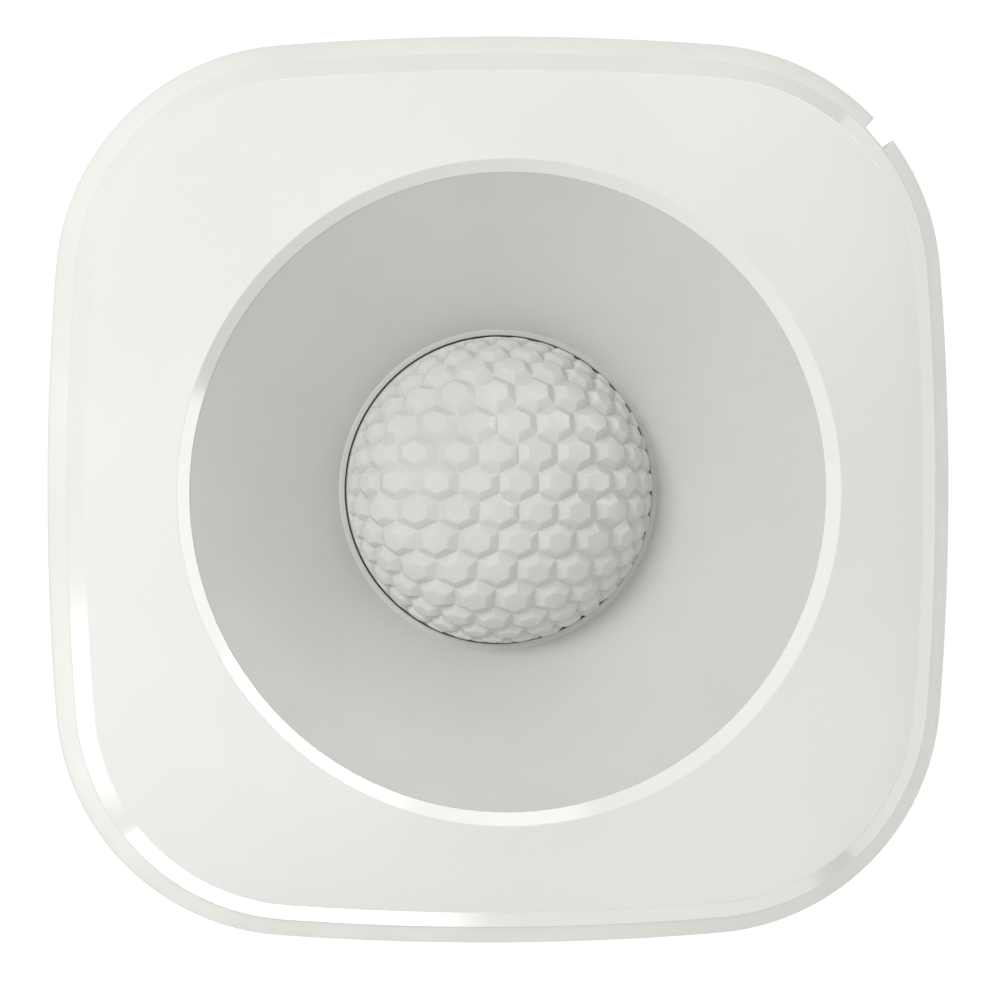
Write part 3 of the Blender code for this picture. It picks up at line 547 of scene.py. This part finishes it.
def build_dish():
    foot = Vector(DISH_FOOT)
    top = Vector((BORE_RADIUS - DISH_BORE_GAP, FRONT - BORE_DROP - DISH_BORE_SINK))
    cone = [tuple(foot.lerp(top, i / DISH_STEPS)) for i in range(DISH_STEPS + 1)]
    piece("dish_cone", spin([*DISH_LIP, *cone, *DISH_BACK], steps=192), MODULE,
          [M["satin_grey_abs"]], "reflector_dish", slot="satin_grey_abs")
    section = sleeve(POST_HOLE_RADIUS, POST_RADIUS, POST_FOOT, POST_HOLE_END, POST_TOP)
    for number, degrees in enumerate(POST_ANGLES, start=1):
        angle = math.radians(degrees)
        centre = (POST_PLACE * math.cos(angle), POST_PLACE * math.sin(angle))
        piece(f"dish_post_{number}", spin(section, centre, 40, closed=False), MODULE,
              [M["satin_grey_abs"]], slot="satin_grey_abs")


def facet_lift(x, y):
    """Height of the six-sided facet pattern over flat pattern coordinates."""
    half_width = FACET_PITCH / 2.0
    squash = FACET_PITCH * math.sqrt(3.0) / 2.0 / FACET_ROW_PITCH
    u = x - FACET_CENTRE[0]
    v = (y - FACET_CENTRE[1]) * squash
    row_height = FACET_ROW_PITCH * squash
    best = np.full_like(u, 1e9)
    base_row = np.round(v / row_height)
    for shift in (-1, 0, 1):
        row = base_row + shift
        offset = 0.5 * FACET_PITCH * np.mod(row, 2)
        column = np.round((u - offset) / FACET_PITCH)
        du = u - offset - column * FACET_PITCH
        dv = v - row * row_height
        slant = math.sqrt(3.0) / 2.0 * dv
        reach = np.maximum(np.abs(du), np.maximum(np.abs(0.5 * du + slant),
                                                   np.abs(0.5 * du - slant)))
        best = np.minimum(best, reach / half_width)
    return FACET_RISE * np.clip((1.0 - best) / (1.0 - FACET_TOP_SHARE), 0.0, 1.0)


def build_lens():
    rise = DOME_TOP - DOME_BASE
    sphere = (DOME_BASE_RADIUS ** 2 + rise ** 2) / (2.0 * rise)
    centre = DOME_TOP - sphere
    half = math.asin(DOME_BASE_RADIUS / sphere)
    theta = np.linspace(0.0, 2.0 * math.pi, DOME_AROUND, endpoint=False)
    rows = []
    for i in range(1, DOME_RINGS + 1):
        tilt = half * i / DOME_RINGS
        radius = sphere * math.sin(tilt)
        margin = DOME_BASE_RADIUS - FACET_EVEN_RADIUS
        flat = radius
        if radius > FACET_EVEN_RADIUS:
            left = max(1.0 - (radius - FACET_EVEN_RADIUS) / margin, FACET_CROWD_LIMIT)
            flat = FACET_EVEN_RADIUS - margin * math.log(left)
        inside = DOME_BASE_RADIUS - FACET_FADE_START - radius
        fade = min(max(inside / FACET_FADE_WIDTH, 0.0), 1.0)
        lift = facet_lift(flat * np.cos(theta), flat * np.sin(theta)) * fade
        out = sphere + lift
        rows.append(np.stack((out * math.sin(tilt) * np.cos(theta),
                              out * math.sin(tilt) * np.sin(theta),
                              centre + out * math.cos(tilt)), axis=1))
    inner_radius = DOME_BASE_RADIUS - DOME_WALL
    edge_radius = LENS_FLANGE_RADIUS - FLANGE_EDGE
    lower = [(DOME_BASE_RADIUS, DOME_FOOT), (edge_radius, FLANGE_TOP),
             (LENS_FLANGE_RADIUS, FLANGE_TOP - FLANGE_EDGE),
             (LENS_FLANGE_RADIUS, LENS_BACK + FLANGE_EDGE), (edge_radius, LENS_BACK),
             (inner_radius, LENS_BACK)]
    inner_sphere = sphere - DOME_WALL
    inner_half = math.asin(inner_radius / inner_sphere)
    for i in range(DOME_INNER_RINGS, 0, -1):
        tilt = inner_half * i / DOME_INNER_RINGS
        lower.append((inner_sphere * math.sin(tilt), centre + inner_sphere * math.cos(tilt)))
    for radius, height in lower:
        rows.append(np.stack((radius * np.cos(theta), radius * np.sin(theta),
                              np.full_like(theta, height)), axis=1))
    middle_lift = float(facet_lift(np.zeros(1), np.zeros(1))[0])
    apex = np.array([[0.0, 0.0, centre + sphere + middle_lift]])
    inner_apex = np.array([[0.0, 0.0, centre + inner_sphere]])
    points = np.concatenate([apex, *rows, inner_apex])
    faces = []
    last = 1 + (len(rows) - 1) * DOME_AROUND
    for i in range(DOME_AROUND):
        j = (i + 1) % DOME_AROUND
        faces.append((0, 1 + i, 1 + j))
        faces.append((len(points) - 1, last + j, last + i))
    for row in range(len(rows) - 1):
        start = 1 + row * DOME_AROUND
        for i in range(DOME_AROUND):
            j = (i + 1) % DOME_AROUND
            faces.append((start + i, start + DOME_AROUND + i, start + DOME_AROUND + j, start + j))
    mesh = bpy.data.meshes.new("lens")
    mesh.from_pydata(points.tolist(), [], faces)
    bm = bmesh.new()
    bm.from_mesh(mesh)
    bpy.data.meshes.remove(mesh)
    bmesh.ops.recalc_face_normals(bm, faces=bm.faces)
    mesh = finish_mesh(bm, UPRIGHT, LENS_SMOOTH_ANGLE)
    piece("dome_lens", mesh, MODULE, [M["lens_polyethylene"]], "fresnel_lens",
          slot="lens_polyethylene")


# ---- chassis side pieces, seen with the front pulled off -------------------------------


def build_cell(name, node, towards):
    low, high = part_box(node)
    y = (low.z + high.z) / 2.0 / MM
    height = -(low.y + high.y) / 2.0 / MM
    radius = (high.z - low.z) / 2.0 / MM
    section = [*CELL_PLUS, *((radius, place) for place in CELL_SLEEVE), *CELL_MINUS]
    mesh = spin(section, steps=72, closed=False)
    mesh.transform(Matrix.Rotation(math.radians(90.0) * towards, 4, "Z"))
    mesh.transform(Matrix.Translation(UPRIGHT @ Vector((0.0, y, height))))
    cell = piece(name, mesh, MODULE, [M["cell_sleeve"], M["cell_band"], M["nickel_plate"]],
                 node, slot="cell_sleeve")
    for face in cell.data.polygons:
        along = face.center.x / MM * towards
        out = math.hypot(face.center.z / MM - y, -face.center.y / MM - height)
        if out < CELL_CAP_RADIUS:
            face.material_index = 2
        elif along > CELL_BAND_START:
            face.material_index = 1


def build_spring(name, node, side):
    curve = bpy.data.curves.new(name, "CURVE")
    curve.dimensions = "3D"
    curve.bevel_depth = COIL_WIRE_RADIUS
    curve.bevel_resolution = 4
    curve.use_fill_caps = True
    spline = curve.splines.new("POLY")
    spline.points.add(COIL_STEPS)
    for step, point in enumerate(spline.points):
        share = step / COIL_STEPS
        radius = COIL_RADIUS + COIL_FLARE * share
        angle = 2.0 * math.pi * COIL_TURNS * share
        point.co = (side * (COIL_START + COIL_LENGTH * share),
                    COIL_Y[node] + radius * math.cos(angle),
                    COIL_HEIGHT + radius * math.sin(angle), 1.0)
    wire = bpy.data.objects.new(name, curve)
    bpy.context.scene.collection.objects.link(wire)
    bpy.context.view_layer.update()
    mesh = bpy.data.meshes.new_from_object(
        wire.evaluated_get(bpy.context.evaluated_depsgraph_get()))
    bpy.data.objects.remove(wire, do_unlink=True)
    bm = bmesh.new()
    bm.from_mesh(mesh)
    piece(name, close(bm), MODULE, [M["nickel_plate"]], node, slot="nickel_plate")


def build_case_screw(name, node):
    low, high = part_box(node)
    centre = ((low.x + high.x) / 2.0 / MM, (low.z + high.z) / 2.0 / MM)
    section = list(SCREW_TIP)
    for i in range(THREAD_TURNS):
        base = THREAD_START - i * THREAD_PITCH
        section.extend(((THREAD_ROOT, base), (THREAD_CREST, base - THREAD_PITCH * 0.5)))
    section.extend(SCREW_HEAD)
    screw = piece(name, spin(section, centre, 48, closed=False), MODULE, [M["steel_screw"]],
                  node, slot="steel_screw")
    for size in RECESS_SIZES:
        carve(screw, block((*centre, RECESS_HEIGHT), size))


def build_button():
    piece("reset_cap", spin(BUTTON_SECTION, (0.0, BUTTON_Y), 64, closed=False), BUTTON,
          [M["red_button"]], "reset_button_cap", slot="red_button")


def build_inner_pieces():
    build_cell("cell_1", "battery_1", -1)
    build_cell("cell_2", "battery_2", 1)
    build_spring("coil_1", "contact_spring_1", 1)
    build_spring("coil_2", "contact_spring_2", -1)
    for number in range(1, 5):
        build_case_screw(f"pan_screw_{number}", f"case_screw_{number}")
    build_button()


def dress_cad_nodes():
    """The pieces that are carried over keep their CAD mesh and take a finished material."""
    slots = {entry["node"]: entry["material_slot"] for entry in frame["record"]["subparts"]}
    for name, node in frame["nodes"].items():
        node.data.materials.clear()
        node.data.materials.append(M[slots[name]])


# ---- stage -----------------------------------------------------------------------------

KEY_POWER = 5.7
KEY_SPOT = (-0.68, -0.90, 0.44)
KEY_AIM = (0.0, -0.02, 0.0)
KEY_SIZE = 0.5
AMBIENT = 0.70
BACKDROP = 1.05
EDGE_LEVEL = 6.0
RING_LEVEL = 3.5
FILL_LEVEL = 1.35
LEFT, RIGHT, UP, DOWN = (-1, 0, 0), (1, 0, 0), (0, 0, 1), (0, 0, -1)
# Name, centre, facing direction, long side's direction, width, length and level.
STRIPS = (
    ("left_strip", (-0.25, 0.050, -0.134), RIGHT, UP, 0.05, 0.212, EDGE_LEVEL),
    ("low_strip", (-0.115, 0.082, -0.24), UP, RIGHT, 0.05, 0.27, EDGE_LEVEL),
    ("low_fill", (0.135, 0.095, -0.24), UP, RIGHT, 0.08, 0.23, FILL_LEVEL),
    ("right_fill", (0.25, 0.120, 0.0), LEFT, UP, 0.10, 0.48, FILL_LEVEL),
    ("right_strip", (0.25, -0.0757, 0.085), LEFT, UP, 0.05, 0.33, EDGE_LEVEL),
    ("top_strip", (0.11, -0.117, 0.25), DOWN, RIGHT, 0.05, 0.28, RING_LEVEL),
    ("corner_strip", (0.2, -0.096, 0.2), (-1, 0, -1), (-1, 0, 1), 0.05, 0.2, EDGE_LEVEL),
)
FLOOR_HALF = 0.8
FLOOR_LEVEL = -0.26
CAMERA_AZIMUTH = math.radians(-6.4)
CAMERA_ELEVATION = math.radians(1.7)
CAMERA_DISTANCE = 2.0
CAMERA_TARGET = (0.0001, -0.0224, -0.00077)
FRAME_WIDTH = 0.0718
SENSOR_WIDTH = 36.0


def area_light(name, spot, aim, size, power):
    data = bpy.data.lights.new(name, "AREA")
    data.shape = "RECTANGLE"
    data.size = size[0]
    data.size_y = size[1]
    data.energy = power
    light = bpy.data.objects.new(name, data)
    bpy.context.scene.collection.objects.link(light)
    light.location = spot
    light.rotation_euler = (Vector(aim) - Vector(spot)).to_track_quat("-Z", "Y").to_euler()
    light.visible_camera = False
    return light


def strip(name, spot, normal, along, width, length, level):
    """A narrow soft box whose long side runs along one direction."""
    power = level * math.pi * width * length
    light = area_light(name, spot, Vector(spot) + Vector(normal), (length, width), power)
    z_axis = -Vector(normal).normalized()
    x_axis = Vector(along).normalized()
    y_axis = z_axis.cross(x_axis)
    light.rotation_euler = Matrix((x_axis, y_axis, z_axis)).transposed().to_euler()
    light.visible_diffuse = False


def build_stage():
    bm = bmesh.new()
    bmesh.ops.create_grid(bm, x_segments=8, y_segments=8, size=FLOOR_HALF)
    mesh = bpy.data.meshes.new("floor")
    bm.to_mesh(mesh)
    bm.free()
    floor = bpy.data.objects.new("studio_floor", mesh)
    floor.location = (0.0, 0.0, FLOOR_LEVEL)
    mesh.materials.append(M["studio_floor"])
    bpy.context.scene.collection.objects.link(floor)

    key = area_light("key", KEY_SPOT, KEY_AIM, (KEY_SIZE, KEY_SIZE), KEY_POWER)
    key.visible_glossy = False
    for row in STRIPS:
        strip(*row)

    world = bpy.data.worlds.new("studio")
    bpy.context.scene.world = world
    world.use_nodes = True
    nodes, links = world.node_tree.nodes, world.node_tree.links
    background = nodes["Background"]
    background.inputs["Color"].default_value = (1.0, 1.0, 1.0, 1.0)
    path = nodes.new("ShaderNodeLightPath")
    level = nodes.new("ShaderNodeMapRange")
    level.inputs["To Min"].default_value = AMBIENT
    level.inputs["To Max"].default_value = BACKDROP
    links.new(path.outputs["Is Camera Ray"], level.inputs["Value"])
    links.new(level.outputs["Result"], background.inputs["Strength"])
    bpy.context.scene.view_settings.view_transform = "Standard"


def build_camera():
    back = Vector((math.sin(CAMERA_AZIMUTH) * math.cos(CAMERA_ELEVATION),
                   -math.cos(CAMERA_AZIMUTH) * math.cos(CAMERA_ELEVATION),
                   math.sin(CAMERA_ELEVATION)))
    camera_data = bpy.data.cameras.new("photo_camera")
    camera_data.sensor_width = SENSOR_WIDTH
    camera_data.lens = SENSOR_WIDTH * CAMERA_DISTANCE / FRAME_WIDTH
    camera_data.clip_end = 20.0
    camera = bpy.data.objects.new("photo_camera", camera_data)
    bpy.context.scene.collection.objects.link(camera)
    camera.location = Vector(CAMERA_TARGET) + back * CAMERA_DISTANCE
    camera.rotation_euler = (-back).to_track_quat("-Z", "Y").to_euler()
    bpy.context.scene.camera = camera


dress_cad_nodes()
build_rear_cover()
build_pad()
build_front_cover()
build_bosses()
build_dish()
build_lens()
build_inner_pieces()
build_stage()
build_camera()

bpy.context.view_layer.update()
